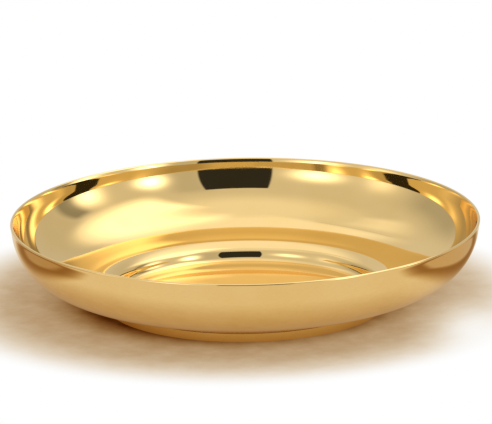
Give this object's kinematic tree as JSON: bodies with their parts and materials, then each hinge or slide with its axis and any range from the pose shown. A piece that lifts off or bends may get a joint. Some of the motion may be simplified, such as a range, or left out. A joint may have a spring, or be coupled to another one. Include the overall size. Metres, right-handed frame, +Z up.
{
  "type": "footed shallow bowl",
  "caption": "Wide shallow bowl of polished gold-plated brass with a pressed centre well, a flared lip and a low collar foot.",
  "frame": {"origin": "centre of the foot's resting face, on the bowl's axis", "axes": "+Z up along the axis that the bowl is turned about, out of its mouth; +X and +Y lie in the resting face"},
  "size_m": [0.19, 0.19, 0.0348],
  "materials": {
    "polished_gold": "mirror-polished gold plate on spun brass",
    "foot_gold": "polished gold plate on a brass band",
    "solder_gold": "gold plate over a cleaned solder seam"
  },
  "bodies": {
    "root": {"bowl_shell": "polished_gold", "foot_ring": "foot_gold", "braze_seam": "solder_gold"}
  },
  "joints": []
}
